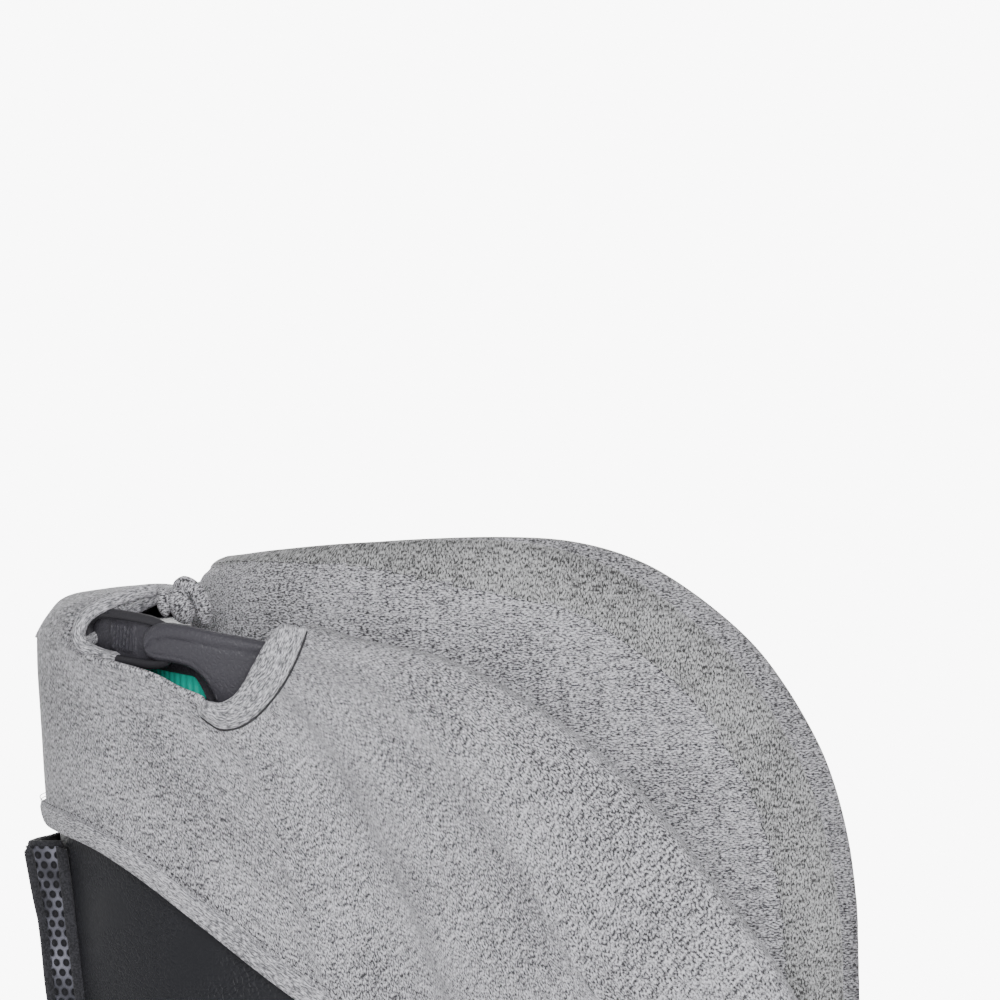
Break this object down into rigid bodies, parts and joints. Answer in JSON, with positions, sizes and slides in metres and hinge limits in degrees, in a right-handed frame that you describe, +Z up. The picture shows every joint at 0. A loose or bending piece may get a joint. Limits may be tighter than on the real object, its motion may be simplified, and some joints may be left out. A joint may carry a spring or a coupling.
{
  "type": "convertible car seat",
  "caption": "Child car seat: bucket shell with grey melange cover, winged sliding headrest, rear grab handle with green lever, harness and cradle base.",
  "frame": {"origin": "middle of the base's underside, on the floor", "axes": "-Y to the front of the seat, +Z up, -X to the side that is seen"},
  "size_m": [0.438, 0.6213, 0.6596],
  "materials": {
    "shell_plastic": "fine leather grain",
    "handle_plastic": "satin with a fine grain",
    "melange_fabric": "grey melange jersey",
    "pad_fabric": "dark grey knit",
    "pocket_mesh": "spacer mesh with round holes",
    "lever_green": "satin gloss",
    "button_red": "satin gloss",
    "plated_steel": "zinc plated",
    "rubber": "matte",
    "webbing": "woven webbing"
  },
  "bodies": {
    "base": {"base_housing": "shell_plastic", "base_plate": "shell_plastic", "rubber_foot_front": "rubber", "rubber_foot_middle": "rubber", "rubber_foot_rear": "rubber"},
    "isofix_frame": {"isofix_arm_left": "plated_steel", "isofix_arm_right": "plated_steel", "isofix_cross_bar": "plated_steel", "isofix_connector_left": "shell_plastic", "isofix_connector_right": "shell_plastic"},
    "isofix_release_left": {"isofix_button_left": "button_red"},
    "isofix_release_right": {"isofix_button_right": "button_red"},
    "isofix_catch_left": {"isofix_jaw_left": "plated_steel"},
    "isofix_catch_right": {"isofix_jaw_right": "plated_steel"},
    "recline_grip": {"recline_handle": "handle_plastic"},
    "recline_pin": {"recline_lock_pin": "plated_steel", "recline_spring": "plated_steel"},
    "shell": {"seat_shell": "shell_plastic", "shell_cover": "melange_fabric", "inner_cover": "melange_fabric", "handle_bar": "handle_plastic", "handle_collar": "handle_plastic", "grip_pad": "handle_plastic", "handle_foot_left": "handle_plastic", "handle_foot_right": "handle_plastic", "cover_flap": "melange_fabric", "lever_spring": "plated_steel", "backrest_panel": "shell_plastic", "backrest_pad": "melange_fabric", "rod_guide_left": "shell_plastic", "rod_guide_right": "shell_plastic", "splitter_plate": "plated_steel", "storage_pocket": "pocket_mesh", "seat_pad": "melange_fabric", "shoulder_strap_left": "webbing", "shoulder_strap_right": "webbing", "lap_strap_left": "webbing", "lap_strap_right": "webbing", "adjuster_strap": "webbing", "buckle_tongue_left": "plated_steel", "buckle_tongue_right": "plated_steel", "buckle_body": "shell_plastic", "crotch_pad": "pad_fabric", "harness_adjuster": "shell_plastic", "recline_runner_left": "plated_steel", "recline_runner_right": "plated_steel"},
    "lever": {"adjuster_lever": "lever_green"},
    "pawl": {"lock_pawl": "plated_steel"},
    "headrest": {"headrest_cover": "melange_fabric", "headrest_shell": "shell_plastic", "headrest_carriage": "shell_plastic", "guide_rod_left": "plated_steel", "guide_rod_right": "plated_steel", "headrest_rack": "plated_steel", "head_pillow": "pad_fabric", "shoulder_pad_left": "pad_fabric", "shoulder_pad_right": "pad_fabric"},
    "buckle_release": {"buckle_button": "button_red"},
    "adjuster_release": {"adjuster_button": "handle_plastic"}
  },
  "joints": [
    {"name": "recline", "type": "hinge", "parent": "base", "child": "shell", "pos_m": [0, 0, 0.5], "axis": [-1, 0, 0], "range_deg": [0, 14]},
    {"name": "headrest_height", "type": "slide", "parent": "shell", "child": "headrest", "axis": [0, 0.204, 0.979], "range_m": [0, 0.192], "deforming": ["shoulder_strap_left", "shoulder_strap_right"]},
    {"name": "lever_squeeze", "type": "hinge", "parent": "shell", "child": "lever", "pos_m": [0, 0.2185, 0.587], "axis": [1, 0, 0], "range_deg": [0, 5], "stiffness_Nm_per_rad": 3, "springref_deg": -5.73, "deforming": ["lever_spring"]},
    {"name": "pawl_withdraw", "type": "slide", "parent": "shell", "child": "pawl", "axis": [0, 1, 0], "range_m": [0, 0.0055]},
    {"name": "recline_handle_pull", "type": "slide", "parent": "base", "child": "recline_grip", "axis": [0, -1, 0], "range_m": [0, 0.012], "stiffness_N_per_m": 400, "springref_m": -0.01},
    {"name": "recline_pin_drop", "type": "slide", "parent": "base", "child": "recline_pin", "axis": [0, 0, -1], "range_m": [0, 0.0096], "deforming": ["recline_spring"]},
    {"name": "isofix_extend", "type": "slide", "parent": "base", "child": "isofix_frame", "axis": [0, 1, 0], "range_m": [0, 0.08]},
    {"name": "buckle_press", "type": "slide", "parent": "shell", "child": "buckle_release", "axis": [0, 0.1197, -0.9928], "range_m": [0, 0.002], "stiffness_N_per_m": 400, "springref_m": -0.002},
    {"name": "adjuster_press", "type": "slide", "parent": "shell", "child": "adjuster_release", "axis": [0, 0, -1], "range_m": [0, 0.003], "stiffness_N_per_m": 400, "springref_m": -0.002},
    {"name": "isofix_press_left", "type": "slide", "parent": "isofix_frame", "child": "isofix_release_left", "axis": [0, 0, -1], "range_m": [0, 0.0015], "stiffness_N_per_m": 400, "springref_m": -0.002},
    {"name": "isofix_jaw_swing_left", "type": "hinge", "parent": "isofix_frame", "child": "isofix_catch_left", "pos_m": [-0.14, 0.298, 0.028], "axis": [1, 0, 0], "range_deg": [0, 26]},
    {"name": "isofix_press_right", "type": "slide", "parent": "isofix_frame", "child": "isofix_release_right", "axis": [0, 0, -1], "range_m": [0, 0.0015], "stiffness_N_per_m": 400, "springref_m": -0.002},
    {"name": "isofix_jaw_swing_right", "type": "hinge", "parent": "isofix_frame", "child": "isofix_catch_right", "pos_m": [0.14, 0.298, 0.028], "axis": [1, 0, 0], "range_deg": [0, 26]}
  ],
  "couplings": [
    {"joint": "pawl_withdraw", "follows": "lever_squeeze", "m_per_rad": 0.06},
    {"joint": "recline_pin_drop", "follows": "recline_handle_pull", "ratio": 0.8},
    {"joint": "isofix_jaw_swing_left", "follows": "isofix_press_left", "rad_per_m": 290},
    {"joint": "isofix_jaw_swing_right", "follows": "isofix_press_right", "rad_per_m": 290}
  ]
}
